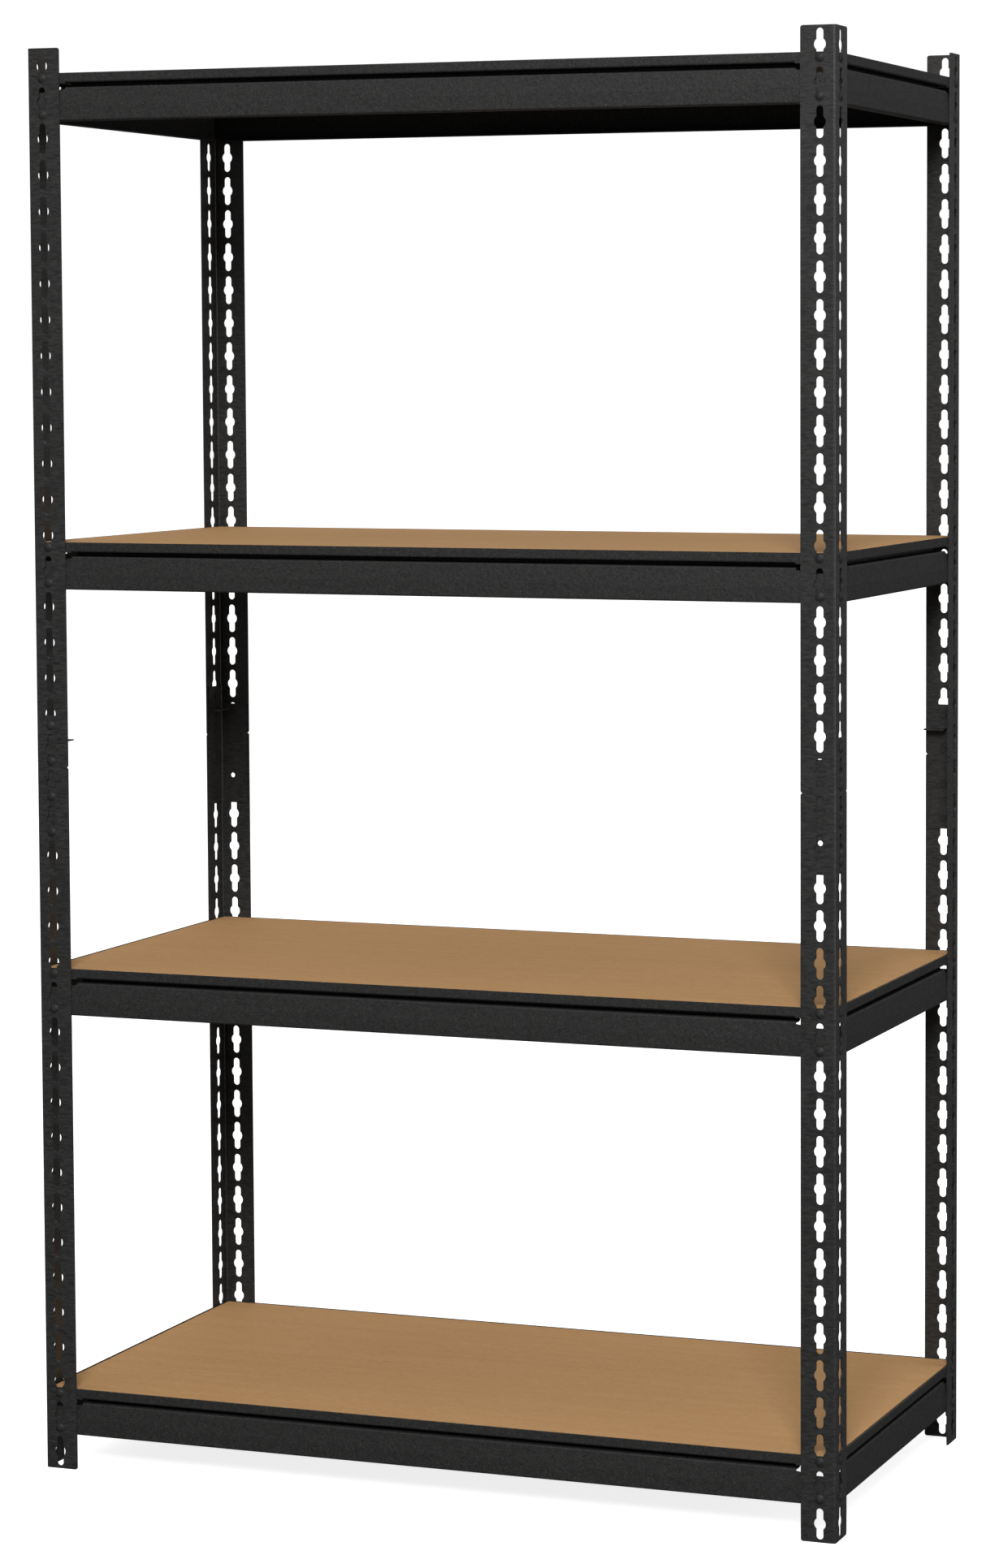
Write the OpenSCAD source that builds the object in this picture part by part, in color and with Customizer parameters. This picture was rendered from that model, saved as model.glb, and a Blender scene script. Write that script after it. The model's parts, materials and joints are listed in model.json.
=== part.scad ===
// Boltless steel shelving, in millimetres.
// Origin at the middle of the footprint on the floor, +X to the right, +Y to the back, +Z up.
// Four slotted corner posts, each of two halves that butt at mid height over an inner splice,
// carry four shelves. A shelf is four folded beams that hang in the keyholes by domed rivets,
// with a board laid on their ledges.

/* [Unit] */
// Width over the outer faces of the posts
unit_w = 897; // [600:1:1220]
// Depth over the outer faces of the posts
unit_d = 440; // [300:1:610]

/* [Posts] */
// Keyholes in each flange of a post half
slots_per_half = 20; // [20:1:26]
// Distance between keyholes, one above the other
slot_pitch = 38.1; // [38.1:0.1:50.8]
// Width of each flange of the post angle
post_flange = 37; // [34:0.5:45]
// Thickness of the post sheet
post_sheet = 1.5; // [1.2:0.1:2]
// Outer radius of the post's bend
post_bend = 2.6; // [2.2:0.1:4]
// Radius of a flange's free corners at each end of a post half
post_corner = 2.6; // [1:0.1:5]

/* [Keyholes] */
// Keyhole centre line, in from the outer corner of the post
slot_inset = 16.7; // [15:0.1:19]
// Keyhole length, end to end
slot_length = 32; // [30:0.5:34]
// Width of a keyhole's two narrow ends
slot_width = 7.6; // [7:0.1:9]
// Diameter of a keyhole's round middle
slot_eye = 12.7; // [11.5:0.1:14]

/* [Rivets] */
// Diameter of a rivet's shank
shank_d = 6; // [5:0.1:6.5]
// Diameter of a rivet's domed head
head_d = 10; // [9:0.1:11]
// Height of a rivet's domed head
head_h = 1.9; // [1:0.1:3]
// Diameter of a rivet's flat inner tail
tail_d = 8.6; // [7.5:0.1:9]
// Height of a rivet's flat inner tail
tail_h = 1; // [0.6:0.1:1.2]

/* [Beams] */
// Thickness of the beam sheet
beam_sheet = 1.4; // [1.2:0.1:1.6]
// Height of a beam from its lip to its foot
beam_h = 50.5; // [48:0.5:52]
// Height of the lip above the underside of the ledge
lip_h = 10.4; // [9:0.1:11]
// Clear height of the groove between the ledge and the web
groove_h = 4.6; // [3:0.1:6]
// Reach of the ledge, in from the face of the beam
ledge_reach = 16; // [12:0.5:24]
// Reach of the foot flange, in from the face of the beam
foot_reach = 12; // [8:0.5:16]
// Height at which the web's lean ends, up from the foot
lean_end = 16; // [10:1:24]
// How far the web's top edge leans in behind the lip
web_lean = 1; // [0:0.1:1.2]
// Drop from a keyhole's centre to the top of the lip
lip_drop = 7.2; // [5:0.1:9]

/* [Beam ends] */
// Gap from the corner of the unit to the end of a beam
end_gap = 5; // [4.5:0.5:8]
// Length of the end where ledge and groove are cut away, from the corner of the unit
end_relief = 43; // [40:1:70]
// Depth of the lip's plain tongue at a beam end
tongue_h = 11; // [10:0.1:12]
// Depth of the web's top edge below the lip, at a beam end
end_web_drop = 20.4; // [18:0.1:24]

/* [Shelves] */
// Keyhole that holds each shelf's upper rivets, counted down from the top of the post
shelf_slots = [0, 13, 25, 37]; // [0:1:38]
// Thickness of the board
deck_t = 9; // [6:0.5:12]
// Gap from the lip to the edge of the board
deck_gap = 1.6; // [1.3:0.1:4]

/* [Splices] */
// Width of each leg of the splice angle, with the post's sheet
splice_leg = 34.8; // [30:0.1:34.8]
// Thickness of the splice sheet
splice_sheet = 1.5; // [1.2:0.1:2]
// Depth of the splice below the joint of the post halves
splice_below = 82; // [70:1:90]
// Height of the short leg above the joint
short_above = 33.9; // [20:0.1:40]
// Height of the tall leg above the joint
tall_above = 55; // [48:1:60]
// Height of the tapping tab above the joint
tab_above = 29; // [24:1:30]
// Width of the tapping tab, in from the tall leg's free edge
tab_w = 22.5; // [16:0.5:26]
// Reach of the tapping tab, in from the tall leg
tab_reach = 15; // [8:0.5:18]
// Diameter of the screw hole in the short leg
screw_d = 5.5; // [4:0.1:6]
// Depth of the screw hole below the joint
screw_below = 50; // [46:1:52]

/* [Hidden] */
$fn = 64;
half_h = slots_per_half * slot_pitch;
unit_h = 2 * half_h;
// running gap between a beam and the post flange that it hangs in
hang_gap = 0.2;
// gap under a rivet's head and under its shank, where it rests in the keyhole
rivet_gap = 0.2;
// radial gap of a rivet in the sheet that it is set in
set_gap = 0.05;
bend_inner = 0.6;
cut = 1;
beam_bend = beam_sheet + bend_inner;
beam_face = post_sheet + hang_gap;
rivet_drop = (slot_length - shank_d) / 2 - rivet_gap;
rivet_from_lip = rivet_drop - lip_drop;
groove_floor = lip_h + groove_h;
hem_r = groove_h / 2 + beam_sheet;
deck_inset = beam_face + beam_sheet + deck_gap;
steel = [0.17, 0.17, 0.17];
bright_steel = [0.3, 0.3, 0.3];
board = [0.78, 0.62, 0.42];

// Corners and sides go round anticlockwise from above, from the front left corner.
// Side i runs from corner i to the next corner.
CORNERS = ["front_left", "front_right", "rear_right", "rear_left"];
SIDES = ["front", "right", "rear", "left"];
HALVES = ["lower", "upper"];
SHELVES = [1, 2, 3, 4];
corner_at = [[-1, -1], [1, -1], [1, 1], [-1, 1]];

function post_name(c, h) = str("post_", CORNERS[c], "_", HALVES[h]);
function splice_name(c) = str("splice_", CORNERS[c]);
function splice_rivets_name(c) = str("splice_rivets_", CORNERS[c]);
function beam_name(s, i) = str("shelf_", s, "_beam_", SIDES[i]);
function beam_rivets_name(s, i) = str("shelf_", s, "_rivets_", SIDES[i]);
function deck_name(s) = str("shelf_", s, "_deck");
function slot_z(i) = unit_h - slot_pitch * (i + 0.5);
function lip_z(s) = slot_z(shelf_slots[s - 1]) - lip_drop;
function side_length(i) = i % 2 == 0 ? unit_w : unit_d;

// ---- shared shapes -------------------------------------------------------

// Moves a piece drawn at a corner, with its faces on X and Y, to corner c of the unit.
module at_corner(c) {
    translate([corner_at[c][0] * unit_w / 2, corner_at[c][1] * unit_d / 2, 0])
        rotate(90 * c)
            children();
}

// Draws a child for the flange along X and again for the flange along Y.
module on_both_flanges() {
    children();
    mirror([1, -1, 0])
        children();
}

// Turns a flat outline of X and height into a cutter through a sheet that faces -Y.
module through_face(depth) {
    translate([0, depth + cut, 0])
        rotate([90, 0, 0])
            linear_extrude(depth + 2 * cut)
                children();
}

// Quarter of a bend, from angle a on, around its own centre.
module bend_quarter(outer, sheet, a) {
    rotate(a)
        intersection() {
            difference() {
                circle(outer);
                circle(outer - sheet);
            }
            square(outer + cut);
        }
}

// Cross-section of a bent angle with its outer corner at the origin.
module angle_section(leg_x, leg_y, sheet, outer) {
    translate([outer, 0])
        square([leg_x - outer, sheet]);
    translate([0, outer])
        square([sheet, leg_y - outer]);
    translate([outer, outer])
        bend_quarter(outer, sheet, 180);
}

// Domed rivet along +Z, with z = 0 on the outer face of the post.
module rivet(grip) {
    dome_r = (pow(head_d / 2, 2) + pow(head_h, 2)) / (2 * head_h);
    rotate_extrude() {
        intersection() {
            translate([0, rivet_gap + head_h - dome_r])
                circle(dome_r);
            translate([0, rivet_gap])
                square([head_d / 2 + cut, head_h + cut]);
        }
        translate([0, -grip - tail_h / 2])
            square([shank_d / 2, grip + tail_h / 2 + rivet_gap + head_h / 2]);
        translate([0, -grip - tail_h])
            square([tail_d / 2, tail_h]);
    }
}

// Places a rivet in the flange along X, at x and height z.
module rivet_at(x, z, grip) {
    translate([x, 0, z])
        rotate([90, 0, 0])
            rivet(grip);
}

// ---- posts ---------------------------------------------------------------

module keyhole() {
    circle(d = slot_eye);
    square([slot_width, slot_length - slot_width], center = true);
    for (end = [-1, 1])
        translate([0, end * (slot_length - slot_width) / 2])
            circle(d = slot_width);
}

// What is left outside the rounded free corner of a flange, at height 0.
module flange_corner_waste() {
    translate([post_flange - post_corner, 0])
        difference() {
            translate([0, -cut])
                square([post_corner + cut, post_corner + cut]);
            translate([0, post_corner])
                circle(post_corner);
        }
}

module post_half(c, h) {
    color(steel)
        at_corner(c)
            translate([0, 0, h * half_h])
                difference() {
                    linear_extrude(half_h)
                        angle_section(post_flange, post_flange, post_sheet, post_bend);
                    on_both_flanges()
                        through_face(post_sheet) {
                            for (i = [0:slots_per_half - 1])
                                translate([slot_inset, slot_pitch * (i + 0.5)])
                                    keyhole();
                            flange_corner_waste();
                            translate([0, half_h])
                                mirror([0, 1])
                                    flange_corner_waste();
                        }
                }
}

// ---- splices -------------------------------------------------------------

function splice_rivet_z(i) = slot_z(slots_per_half - 2 + i) - rivet_drop;

// The tall leg lies behind the flange along X and the short leg behind the one along Y.
module splice_angle() {
    leg = splice_leg - post_sheet;
    difference() {
        translate([post_sheet, post_sheet, half_h - splice_below])
            linear_extrude(splice_below + tall_above)
                angle_section(leg, leg, splice_sheet, post_bend);
        translate([-cut, post_sheet + splice_sheet + bend_inner, half_h + short_above])
            cube([splice_leg + cut, splice_leg, tall_above]);
        mirror([1, -1, 0])
            translate([slot_inset, 0, half_h - screw_below])
                rotate([-90, 0, 0])
                    cylinder(d = screw_d, h = post_sheet + splice_sheet + cut);
        for (i = [0:3])
            translate([slot_inset, 0, splice_rivet_z(i)])
                rotate([-90, 0, 0])
                    cylinder(d = shank_d + 2 * set_gap, h = post_sheet + splice_sheet + cut);
    }
}

// Small level tab, square to the tall leg, for tapping the splice down into the lower half.
module tapping_tab() {
    inner_face = post_sheet + splice_sheet;
    translate([splice_leg - tab_w, inner_face - splice_sheet / 2, half_h + tab_above - splice_sheet])
        cube([tab_w, tab_reach + splice_sheet / 2, splice_sheet]);
}

module splice(c) {
    color(steel)
        at_corner(c)
            union() {
                splice_angle();
                tapping_tab();
            }
}

module splice_rivets(c) {
    color(bright_steel)
        at_corner(c)
            for (i = [0:3])
                rivet_at(slot_inset, splice_rivet_z(i), post_sheet + splice_sheet);
}

// ---- beams ---------------------------------------------------------------

// Cross-section of a beam: x is the depth in from its face, y is the height from its lip.
module beam_section() {
    hem_x = ledge_reach - hem_r;
    hem_y = -lip_h - groove_h / 2;
    web_top = -groove_floor - beam_bend;
    lean_y = -beam_h + lean_end;
    // lip and ledge
    translate([0, -lip_h + beam_bend])
        square([beam_sheet, lip_h - beam_bend]);
    translate([beam_bend, -lip_h + beam_bend])
        bend_quarter(beam_bend, beam_sheet, 180);
    translate([beam_bend, -lip_h])
        square([hem_x - beam_bend, beam_sheet]);
    // open hem at the back of the ledge, and the groove's floor
    translate([hem_x, hem_y]) {
        bend_quarter(hem_r, beam_sheet, -90);
        bend_quarter(hem_r, beam_sheet, 0);
    }
    translate([web_lean + beam_bend, -groove_floor - beam_sheet])
        square([hem_x - web_lean - beam_bend, beam_sheet]);
    // web, which leans back to the plane of the lip on its way down
    translate([web_lean + beam_bend, web_top])
        bend_quarter(beam_bend, beam_sheet, 90);
    polygon([
        [web_lean, web_top],
        [web_lean + beam_sheet, web_top],
        [beam_sheet, lean_y],
        [0, lean_y]
    ]);
    translate([0, -beam_h + beam_bend])
        square([beam_sheet, lean_end - beam_bend]);
    // foot flange
    translate([beam_bend, -beam_h + beam_bend])
        bend_quarter(beam_bend, beam_sheet, 180);
    translate([beam_bend, -beam_h])
        square([foot_reach - beam_bend, beam_sheet]);
}

// What is cut from the left end of a beam whose lip is at height 0.
module beam_end_waste() {
    behind = beam_face + beam_sheet;
    foot_relief = behind + foot_reach + end_gap;
    translate([0, behind, -beam_h + beam_bend])
        cube([end_relief, ledge_reach, beam_h - beam_bend + cut]);
    translate([0, behind, -beam_h - cut])
        cube([foot_relief, ledge_reach, beam_bend + 2 * cut]);
    through_face(behind)
        polygon([
            [0, -tongue_h],
            [end_relief, -tongue_h],
            [end_relief, -groove_floor - beam_bend],
            [end_relief / 2, -end_web_drop],
            [0, -end_web_drop]
        ]);
    for (z = [0, -slot_pitch])
        translate([slot_inset, 0, z - rivet_from_lip])
            rotate([-90, 0, 0])
                cylinder(d = shank_d + 2 * set_gap, h = behind + cut);
}

// Beam along +X that starts at the corner of the unit, with its lip at height 0.
module beam_blank(length) {
    tongue = [end_relief - end_gap, beam_sheet, tongue_h];
    difference() {
        translate([end_gap, beam_face, 0]) {
            rotate([90, 0, 90])
                linear_extrude(length - 2 * end_gap)
                    beam_section();
            translate([0, 0, -tongue_h])
                cube(tongue);
            translate([length - end_gap - end_relief, 0, -tongue_h])
                cube(tongue);
        }
        beam_end_waste();
        translate([length, 0, 0])
            mirror([1, 0, 0])
                beam_end_waste();
    }
}

module beam(s, i) {
    color(steel)
        at_corner(i)
            translate([0, 0, lip_z(s)])
                beam_blank(side_length(i));
}

module beam_rivets(s, i) {
    color(bright_steel)
        at_corner(i)
            for (x = [slot_inset, side_length(i) - slot_inset], z = [0, -slot_pitch])
                rivet_at(x, lip_z(s) + z - rivet_from_lip, beam_face + beam_sheet);
}

// ---- decks ---------------------------------------------------------------

module deck(s) {
    color(board)
        translate([0, 0, lip_z(s) - lip_h + beam_sheet + deck_t / 2])
            cube([unit_w - 2 * deck_inset, unit_d - 2 * deck_inset, deck_t], center = true);
}

for (c = [0:3], h = [0:1])
    post_half(c, h);
for (c = [0:3])
    splice(c);
for (c = [0:3])
    splice_rivets(c);
for (s = SHELVES, i = [0:3])
    beam(s, i);
for (s = SHELVES, i = [0:3])
    beam_rivets(s, i);
for (s = SHELVES)
    deck(s);
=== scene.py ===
"""Boltless steel shelving: finishes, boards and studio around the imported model.

The steel keeps its CAD shapes. The four boards are rebuilt with worn edges.
"""
import json
import math
import random

import bmesh
import bpy
from mathutils import Matrix, Vector


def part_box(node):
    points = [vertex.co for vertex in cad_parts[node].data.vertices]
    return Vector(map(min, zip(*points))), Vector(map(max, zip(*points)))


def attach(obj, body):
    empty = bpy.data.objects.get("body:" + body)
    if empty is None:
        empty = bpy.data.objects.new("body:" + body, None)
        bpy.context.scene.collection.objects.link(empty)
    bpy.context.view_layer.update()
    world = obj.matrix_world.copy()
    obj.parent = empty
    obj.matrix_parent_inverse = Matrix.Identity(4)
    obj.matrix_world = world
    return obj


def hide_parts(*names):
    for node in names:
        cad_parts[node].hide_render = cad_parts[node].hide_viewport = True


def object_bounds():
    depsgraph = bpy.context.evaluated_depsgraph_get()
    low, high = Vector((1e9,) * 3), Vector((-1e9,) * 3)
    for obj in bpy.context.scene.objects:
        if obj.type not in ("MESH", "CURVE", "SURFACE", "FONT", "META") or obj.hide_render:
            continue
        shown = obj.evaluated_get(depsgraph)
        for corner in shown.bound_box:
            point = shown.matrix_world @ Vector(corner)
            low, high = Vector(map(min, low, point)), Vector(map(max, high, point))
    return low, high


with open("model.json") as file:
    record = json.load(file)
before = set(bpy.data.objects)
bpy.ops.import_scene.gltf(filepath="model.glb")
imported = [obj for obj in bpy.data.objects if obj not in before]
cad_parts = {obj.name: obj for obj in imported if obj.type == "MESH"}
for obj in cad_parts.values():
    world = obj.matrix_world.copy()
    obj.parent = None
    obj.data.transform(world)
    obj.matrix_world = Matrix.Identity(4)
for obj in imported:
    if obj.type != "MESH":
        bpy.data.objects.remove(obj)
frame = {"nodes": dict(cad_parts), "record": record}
cad_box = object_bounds()

MM = 0.001
SHELVES = (1, 2, 3, 4)

# The boards: eased edges with small chips broken out of them.
EDGE_EASE = 0.45 * MM
EDGE_CHIP = 0.7 * MM
CHIPPED_SHARE_TOP = 0.28
CHIPPED_SHARE_FOOT = 0.4
CORNER_RADIUS = 2.0 * MM
CORNER_STEPS = 4
STATION_STEP = 5.0 * MM
EASE_BELLY = 0.3

# Rounding that the cut edges of the sheet metal keep under the paint.
SHEET_EDGE = 0.22 * MM
SHARP_ANGLE = 50.0

# The floor lies just under the posts and glows, so that it reads as a white sweep.
FLOOR_SIZE = 60.0
FLOOR_GAP = 0.2 * MM
FLOOR_GLOW = 0.82

# Soft boxes: name, place, size of the side in metres and power in watts. All face LIT_POINT.
LIT_POINT = (0.0, 0.0, 0.7)
SOFT_BOXES = (
    ("front_key", (2.1, -5.9, 4.3), 2.4, 520.0),
    ("right_key", (6.2, -1.2, 1.0), 2.6, 90.0),
    ("back_fill", (-2.5, 5.5, 3.5), 3.0, 22.0),
)

# The camera: metres, degrees, a lens in millimetres and a shift in sensor widths.
CAMERA_PLACE = Vector((1.7084, -4.1329, 1.1928))
CAMERA_YAW = 19.54
CAMERA_PITCH = -4.18
CAMERA_ROLL = -0.11
CAMERA_LENS = 95.03
CAMERA_SENSOR = 36.0
CAMERA_REACH = 200.0
CAMERA_SHIFT = (-0.1407, -0.0765)

# The sky as a light: two direction heights, then its strength at each. Seen, it is plain white.
SKY_RAMP = (-0.15, 0.7, 0.09, 0.55)
SKY_SEEN = 1.05
WHITE = (1.0, 1.0, 1.0, 1.0)


# ---- node helpers --------------------------------------------------------


class Finish:
    """A node material being built: nodes are added by type, with their sockets set by name."""

    def __init__(self, name):
        self.material = bpy.data.materials.new(name)
        self.material.use_nodes = True
        self.tree = self.material.node_tree
        self.tree.nodes.clear()
        self.shader = self.add("ShaderNodeBsdfPrincipled")
        output = self.add("ShaderNodeOutputMaterial")
        self.link(self.shader.outputs["BSDF"], output.inputs["Surface"])
        self.place = self.add("ShaderNodeTexCoord").outputs["Object"]

    def add(self, kind, **settings):
        node = self.tree.nodes.new(kind)
        for name, value in settings.items():
            setattr(node, name, value)
        return node

    def link(self, out_socket, in_socket):
        self.tree.links.new(out_socket, in_socket)

    def scaled(self, scale):
        """The place on the object, in metres, with each axis multiplied by scale."""
        node = self.add("ShaderNodeMapping")
        node.inputs["Scale"].default_value = scale
        self.link(self.place, node.inputs["Vector"])
        return node.outputs["Vector"]

    def noise(self, scale, detail=2.0, roughness=0.5, distortion=0.0, place=None):
        """Soft noise from 0 to 1, with about scale features to the metre."""
        node = self.add("ShaderNodeTexNoise")
        node.inputs["Scale"].default_value = scale
        node.inputs["Detail"].default_value = detail
        node.inputs["Roughness"].default_value = roughness
        node.inputs["Distortion"].default_value = distortion
        self.link(place or self.place, node.inputs["Vector"])
        return node.outputs["Fac"]

    def cells(self, scale, place=None, feature="SMOOTH_F1", output="Distance"):
        """Cell pattern, with about scale cells to the metre."""
        node = self.add("ShaderNodeTexVoronoi", feature=feature)
        node.inputs["Scale"].default_value = scale
        self.link(place or self.place, node.inputs["Vector"])
        return node.outputs[output]

    def ramp(self, value, low, high, to_low=0.0, to_high=1.0):
        """value between low and high, spread over to_low to to_high."""
        node = self.add("ShaderNodeMapRange")
        node.inputs["From Min"].default_value = low
        node.inputs["From Max"].default_value = high
        node.inputs["To Min"].default_value = to_low
        node.inputs["To Max"].default_value = to_high
        self.link(value, node.inputs["Value"])
        return node.outputs["Result"]

    def math(self, operation, a, b):
        node = self.add("ShaderNodeMath", operation=operation)
        for socket, value in zip(node.inputs, (a, b)):
            if isinstance(value, (int, float)):
                socket.default_value = value
            else:
                self.link(value, socket)
        return node.outputs["Value"]

    def mix(self, factor, a, b):
        """Colour a with colour b over it by factor; either may be a socket or a colour."""
        node = self.add("ShaderNodeMix", data_type="RGBA")
        if isinstance(factor, (int, float)):
            node.inputs["Factor"].default_value = factor
        else:
            self.link(factor, node.inputs["Factor"])
        for name, value in (("A", a), ("B", b)):
            socket = [s for s in node.inputs if s.name == name and s.type == "RGBA"][0]
            if isinstance(value, (tuple, list)):
                socket.default_value = (*value, 1.0)
            else:
                self.link(value, socket)
        return [s for s in node.outputs if s.type == "RGBA"][0]

    def bump(self, height, distance, strength):
        """A normal for a relief of that height signal, distance metres deep."""
        node = self.add("ShaderNodeBump")
        node.inputs["Strength"].default_value = strength
        node.inputs["Distance"].default_value = distance
        self.link(height, node.inputs["Height"])
        return node.outputs["Normal"]

    def finish(self, colour, roughness, normal):
        """Joins the three up to the shader and gives back the finished material."""
        self.link(colour, self.shader.inputs["Base Color"])
        self.link(roughness, self.shader.inputs["Roughness"])
        self.link(normal, self.shader.inputs["Normal"])
        return self.material


# ---- finishes ------------------------------------------------------------


def hammered_coat(name):
    """Charcoal powder coat that has drawn into small hammered blisters, with pale flecks."""
    f = Finish(name)
    wander = f.noise(90.0, detail=2.0, distortion=1.5)
    blisters = f.cells(250.0)
    worms = f.noise(300.0, detail=3.0, roughness=0.6, distortion=2.4)
    flecks = f.ramp(f.noise(620.0, detail=1.0, distortion=1.0), 0.58, 0.72)
    height = f.math("ADD", f.math("MULTIPLY", blisters, 0.7), f.math("MULTIPLY", worms, 0.8))
    dark, light = (0.0085, 0.0085, 0.0083), (0.0285, 0.0285, 0.0277)
    fleck = (0.050, 0.050, 0.0487)
    colour = f.mix(f.ramp(worms, 0.36, 0.66), dark, light)
    colour = f.mix(f.ramp(wander, 0.3, 0.7, 0.0, 0.25), colour, dark)
    colour = f.mix(f.math("MULTIPLY", flecks, 0.5), colour, fleck)
    rough = f.ramp(worms, 0.3, 0.7, 0.60, 0.42)
    normal = f.bump(height, 0.5 * MM, 0.65)
    f.shader.inputs["Specular IOR Level"].default_value = 0.22
    return f.finish(colour, rough, normal)


def fine_coat(name):
    """Charcoal powder coat over rolled strip: a fine peel with faint marks across the strip."""
    f = Finish(name)
    grain = f.noise(700.0, detail=2.0, roughness=0.6)
    across = f.scaled((110.0, 110.0, 460.0))
    marks = f.noise(1.0, detail=3.0, roughness=0.6, distortion=0.6, place=across)
    clouds = f.noise(14.0, detail=3.0)
    dark, light = (0.0085, 0.0085, 0.0083), (0.0315, 0.0315, 0.0307)
    colour = f.mix(f.ramp(marks, 0.32, 0.68), dark, light)
    colour = f.mix(f.ramp(grain, 0.52, 0.75, 0.0, 0.35), colour, light)
    colour = f.mix(f.ramp(clouds, 0.35, 0.7, 0.0, 0.25), colour, dark)
    rough = f.ramp(grain, 0.3, 0.7, 0.33, 0.46)
    height = f.math("ADD", f.math("MULTIPLY", grain, 0.6), f.math("MULTIPLY", marks, 0.6))
    normal = f.bump(height, 0.25 * MM, 0.6)
    f.shader.inputs["Specular IOR Level"].default_value = 0.38
    return f.finish(colour, rough, normal)


def rivet_coat(name):
    """Charcoal powder coat over a set rivet: smoother on the dome, with a few rubbed spots."""
    f = Finish(name)
    peel = f.noise(650.0, detail=2.0)
    rubbed = f.noise(160.0, detail=3.0, roughness=0.65)
    coat, bared = (0.0170, 0.0170, 0.0166), (0.032, 0.032, 0.0312)
    colour = f.mix(f.ramp(rubbed, 0.52, 0.75, 0.0, 0.6), coat, bared)
    rough = f.ramp(peel, 0.3, 0.7, 0.48, 0.60)
    normal = f.bump(peel, 0.1 * MM, 0.5)
    f.shader.inputs["Specular IOR Level"].default_value = 0.16
    return f.finish(colour, rough, normal)


def particleboard(name):
    """Sanded particleboard: flakes, faint sanding along X, darker open edges with painted shade
    in their pits, and painted shade on the bottom face.
    """
    f = Finish(name)
    flakes = f.cells(1.0, place=f.scaled((190.0, 420.0, 420.0)), feature="F1", output="Color")
    flake_value = f.add("ShaderNodeSeparateColor")
    f.link(flakes, flake_value.inputs["Color"])
    flake = flake_value.outputs["Red"]
    streaks = f.noise(1.0, detail=4.0, roughness=0.6, place=f.scaled((3.0, 70.0, 70.0)))
    clouds = f.noise(3.2, detail=3.0, roughness=0.55)
    dust = f.noise(1500.0, detail=1.0)
    base, pale, deep = (0.436, 0.249, 0.110), (0.485, 0.288, 0.135), (0.370, 0.204, 0.085)
    # Of these three colours, the first is painted shade in the edge pores, the second a darker
    # edge tone and the third painted shade on the bottom face.
    painted_pit_shade, darker_edge_tone, back = (0.045, 0.030, 0.018), (0.12, 0.078, 0.042), (0.085, 0.085, 0.078)
    colour = f.mix(f.ramp(flake, 0.55, 1.0, 0.0, 0.5), base, pale)
    colour = f.mix(f.ramp(flake, 0.35, 0.0, 0.0, 0.45), colour, deep)
    colour = f.mix(f.ramp(streaks, 0.38, 0.68, 0.0, 0.4), colour, deep)
    colour = f.mix(f.ramp(clouds, 0.4, 0.7, 0.0, 0.3), colour, pale)
    facing = f.add("ShaderNodeSeparateXYZ")
    f.link(f.add("ShaderNodeNewGeometry").outputs["True Normal"], facing.inputs["Vector"])
    edge = f.ramp(facing.outputs["Z"], 0.75, 0.35)
    pits = f.cells(520.0, feature="F1")
    # The edges get the darker tone, with painted shade in the pits.
    darker_edge_and_pit_shade = f.mix(f.ramp(pits, 0.1, 0.5), painted_pit_shade, darker_edge_tone)
    colour = f.mix(f.math("MULTIPLY", edge, 0.9), colour, darker_edge_and_pit_shade)
    # Faces turned downward get painted shade.
    painted_shade_below = f.ramp(facing.outputs["Z"], -0.4, -0.8)
    colour = f.mix(f.math("MULTIPLY", painted_shade_below, 0.92), colour, back)
    rough = f.ramp(dust, 0.3, 0.7, 0.70, 0.86)
    sanded = f.math("ADD", f.math("MULTIPLY", dust, 0.35), f.math("MULTIPLY", flake, 0.25))
    height = f.math("ADD", sanded, f.math("MULTIPLY", edge, pits))
    normal = f.bump(height, 0.16 * MM, 0.5)
    f.shader.inputs["Specular IOR Level"].default_value = 0.06
    return f.finish(colour, rough, normal)


def pale_floor(name):
    """Plain matt studio floor that glows near white."""
    f = Finish(name)
    clouds = f.noise(0.7, detail=2.0)
    dull, clean = (0.86, 0.86, 0.86), (0.88, 0.88, 0.88)
    colour = f.mix(f.ramp(clouds, 0.3, 0.7), dull, clean)
    rough = f.ramp(clouds, 0.3, 0.7, 0.85, 0.9)
    normal = f.bump(f.noise(400.0), 0.05 * MM, 0.2)
    f.shader.inputs["Specular IOR Level"].default_value = 0.1
    f.shader.inputs["Emission Color"].default_value = WHITE
    f.shader.inputs["Emission Strength"].default_value = FLOOR_GLOW
    return f.finish(colour, rough, normal)


FINISHES = {
    "post_steel": fine_coat("post_steel_fine_coat"),
    "beam_steel": hammered_coat("beam_steel_hammered_coat"),
    "rivet_steel": rivet_coat("rivet_steel_coat"),
    "particleboard": particleboard("particleboard_sanded"),
}


# ---- the steel -----------------------------------------------------------


def dress_steel(node, finish):
    """Gives a CAD node its finish and slightly rounded sheet edges."""
    piece = frame["nodes"][node]
    piece.data.materials.clear()
    piece.data.materials.append(finish)
    bevel = piece.modifiers.new("sheet_edge", "BEVEL")
    bevel.width = SHEET_EDGE
    bevel.segments = 2
    bevel.limit_method = "ANGLE"
    bevel.angle_limit = math.radians(SHARP_ANGLE)


# ---- the boards ----------------------------------------------------------


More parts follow.
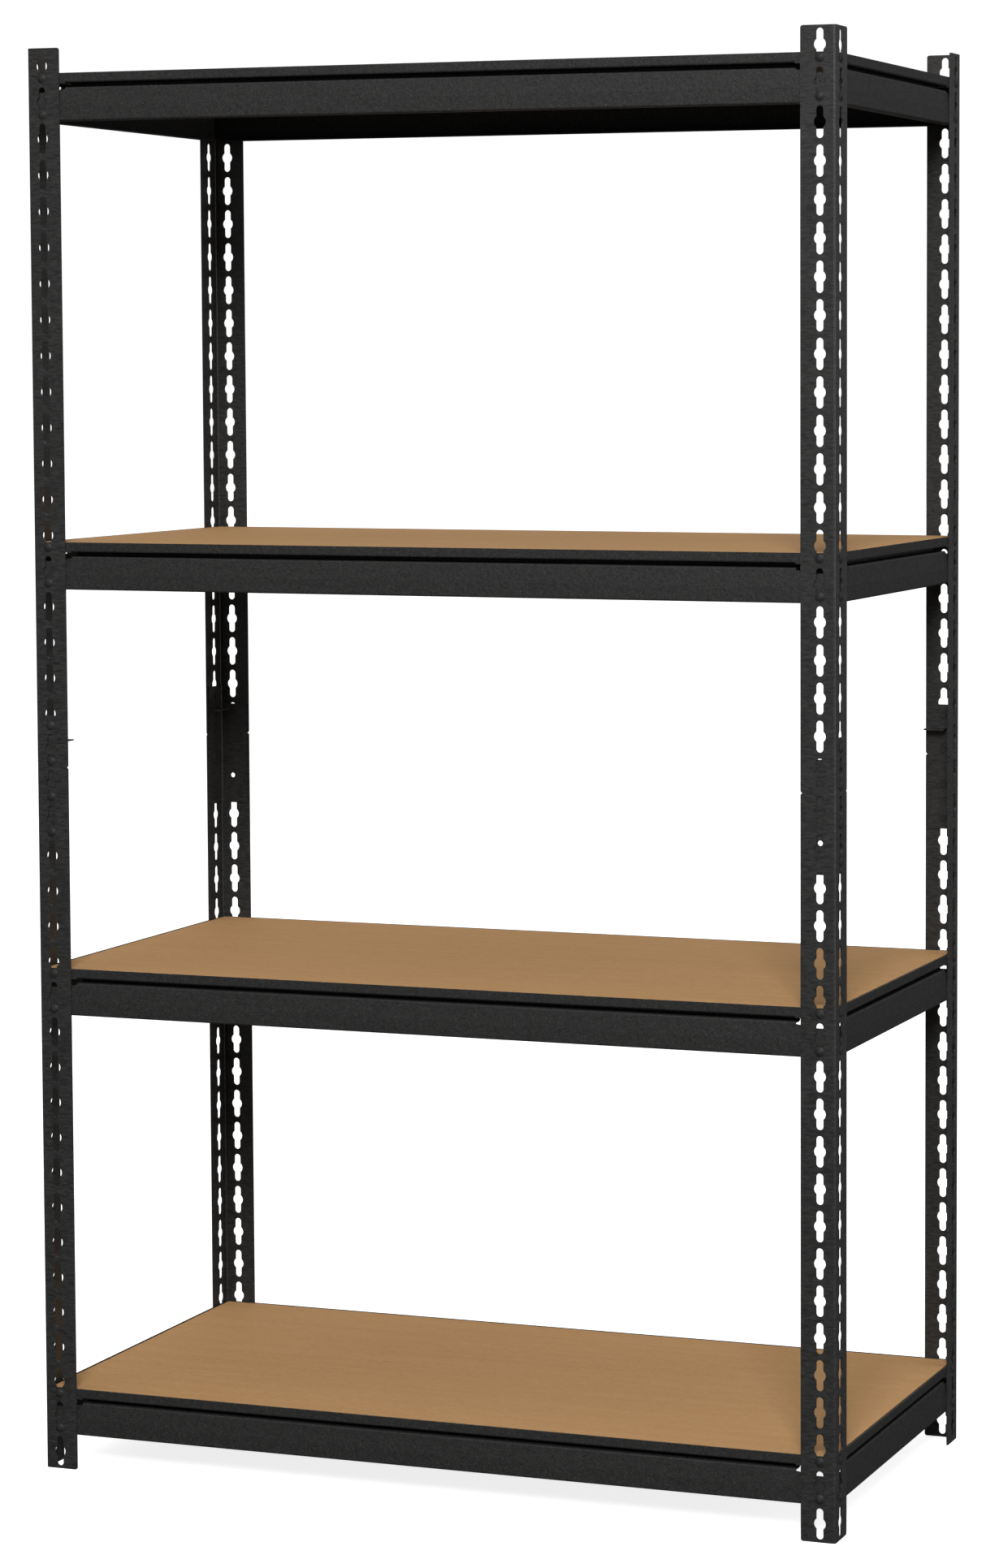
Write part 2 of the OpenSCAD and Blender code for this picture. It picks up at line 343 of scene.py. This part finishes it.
def outline_stations(half_x, half_y):
    """Points round a rectangle with small round corners, each with its outward direction."""
    stations = []
    inner_x, inner_y = half_x - CORNER_RADIUS, half_y - CORNER_RADIUS
    corners = ((1, -1, -90), (1, 1, 0), (-1, 1, 90), (-1, -1, 180))
    for n, (sx, sy, start) in enumerate(corners):
        centre = Vector((sx * inner_x, sy * inner_y))
        for step in range(CORNER_STEPS + 1):
            turn = math.radians(start + step * 90 / CORNER_STEPS)
            out = Vector((math.cos(turn), math.sin(turn)))
            stations.append((centre + out * CORNER_RADIUS, out))
        following = corners[(n + 1) % len(corners)]
        far_centre = Vector((following[0] * inner_x, following[1] * inner_y))
        near, far = centre + out * CORNER_RADIUS, far_centre + out * CORNER_RADIUS
        count = int((far - near).length / STATION_STEP)
        stations += [(near.lerp(far, k / count), out) for k in range(1, count)]
    return stations


def chip(dice, share):
    """Inset of an edge at one station: the ease, and at that share of stations a chip."""
    return EDGE_EASE + EDGE_CHIP * max(0.0, dice.random() - (1 - share)) / share


def eased_board(name, low, high, seed):
    """Board with eased, lightly chipped edges, filling the box from low to high."""
    dice = random.Random(seed)
    centre, half = (low + high) / 2, (high - low) / 2
    mesh = bpy.data.meshes.new(name)
    build = bmesh.new()
    rings = [[] for _ in range(6)]
    for point, out in outline_stations(half.x, half.y):
        top = chip(dice, CHIPPED_SHARE_TOP)
        foot = chip(dice, CHIPPED_SHARE_FOOT)
        profile = (
            (foot, -half.z),
            (foot * EASE_BELLY, foot * EASE_BELLY - half.z),
            (0.0, foot - half.z),
            (0.0, half.z - top),
            (top * EASE_BELLY, half.z - top * EASE_BELLY),
            (top, half.z),
        )
        for ring, (inset, height) in zip(rings, profile):
            flat = point - out * inset
            place = (centre.x + flat.x, centre.y + flat.y, centre.z + height)
            ring.append(build.verts.new(place))
    count = len(rings[0])
    for lower, upper in zip(rings, rings[1:]):
        for k in range(count):
            following = (k + 1) % count
            build.faces.new((lower[k], lower[following], upper[following], upper[k]))
    build.faces.new(list(reversed(rings[0])))
    build.faces.new(rings[-1])
    build.to_mesh(mesh)
    build.free()
    board = bpy.data.objects.new(name, mesh)
    bpy.context.scene.collection.objects.link(board)
    mesh.materials.append(FINISHES["particleboard"])
    return board


# ---- assembly ------------------------------------------------------------

slot_of = {row["node"]: row["material_slot"] for row in frame["record"]["subparts"]}
for node, slot in slot_of.items():
    if slot != "particleboard":
        dress_steel(node, FINISHES[slot])

for shelf in SHELVES:
    deck_node = f"shelf_{shelf}_deck"
    board = eased_board(f"shelf_{shelf}_board", *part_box(deck_node), seed=shelf)
    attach(board, f"deck_{shelf}")
    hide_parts(deck_node)


# ---- floor, light and camera ---------------------------------------------


def make_floor():
    """Wide glowing floor that throws no light on the shelving and doesn't mirror in it."""
    place = (0.0, 0.0, cad_box[0].z - FLOOR_GAP)
    bpy.ops.mesh.primitive_plane_add(size=FLOOR_SIZE, location=place)
    floor = bpy.context.object
    floor.name = "studio_floor"
    floor.data.materials.append(pale_floor("studio_floor"))
    floor.visible_diffuse = False
    floor.visible_glossy = False


def soft_light(name, place, size, power):
    """Square soft box at place, facing LIT_POINT."""
    data = bpy.data.lights.new(name, "AREA")
    data.shape = "SQUARE"
    data.size = size
    data.energy = power
    light = bpy.data.objects.new(name, data)
    light.location = place
    aim = Vector(LIT_POINT) - Vector(place)
    light.rotation_euler = aim.to_track_quat("-Z", "Y").to_euler()
    bpy.context.scene.collection.objects.link(light)


def make_sky():
    """White surround to look at; as a light, soft from above and nearly dark from below."""
    world = bpy.data.worlds.new("studio_sky")
    bpy.context.scene.world = world
    world.use_nodes = True
    nodes, links = world.node_tree.nodes, world.node_tree.links
    nodes.clear()
    direction = nodes.new("ShaderNodeSeparateXYZ")
    links.new(nodes.new("ShaderNodeTexCoord").outputs["Generated"], direction.inputs["Vector"])
    height = nodes.new("ShaderNodeMapRange")
    for name, value in zip(("From Min", "From Max", "To Min", "To Max"), SKY_RAMP):
        height.inputs[name].default_value = value
    links.new(direction.outputs["Z"], height.inputs["Value"])
    lit = nodes.new("ShaderNodeBackground")
    links.new(height.outputs["Result"], lit.inputs["Strength"])
    seen = nodes.new("ShaderNodeBackground")
    seen.inputs["Strength"].default_value = SKY_SEEN
    for background in (lit, seen):
        background.inputs["Color"].default_value = WHITE
    mix = nodes.new("ShaderNodeMixShader")
    links.new(nodes.new("ShaderNodeLightPath").outputs["Is Camera Ray"], mix.inputs["Fac"])
    links.new(lit.outputs["Background"], mix.inputs[1])
    links.new(seen.outputs["Background"], mix.inputs[2])
    links.new(mix.outputs["Shader"], nodes.new("ShaderNodeOutputWorld").inputs["Surface"])


def make_camera():
    """Camera standing where the photo's did, as fitted to the keyholes."""
    data = bpy.data.cameras.new("camera")
    data.lens = CAMERA_LENS
    data.sensor_width = CAMERA_SENSOR
    data.shift_x, data.shift_y = CAMERA_SHIFT
    data.clip_end = CAMERA_REACH
    camera = bpy.data.objects.new("camera", data)
    aim = Matrix.Rotation(math.radians(CAMERA_YAW), 4, "Z")
    tilt = Matrix.Rotation(math.radians(90.0 + CAMERA_PITCH), 4, "X")
    roll = Matrix.Rotation(math.radians(CAMERA_ROLL), 4, "Z")
    camera.matrix_world = Matrix.Translation(CAMERA_PLACE) @ aim @ tilt @ roll
    bpy.context.scene.collection.objects.link(camera)
    bpy.context.scene.camera = camera


make_floor()
for soft_box in SOFT_BOXES:
    soft_light(*soft_box)
make_sky()
make_camera()
bpy.context.scene.view_settings.view_transform = "Standard"
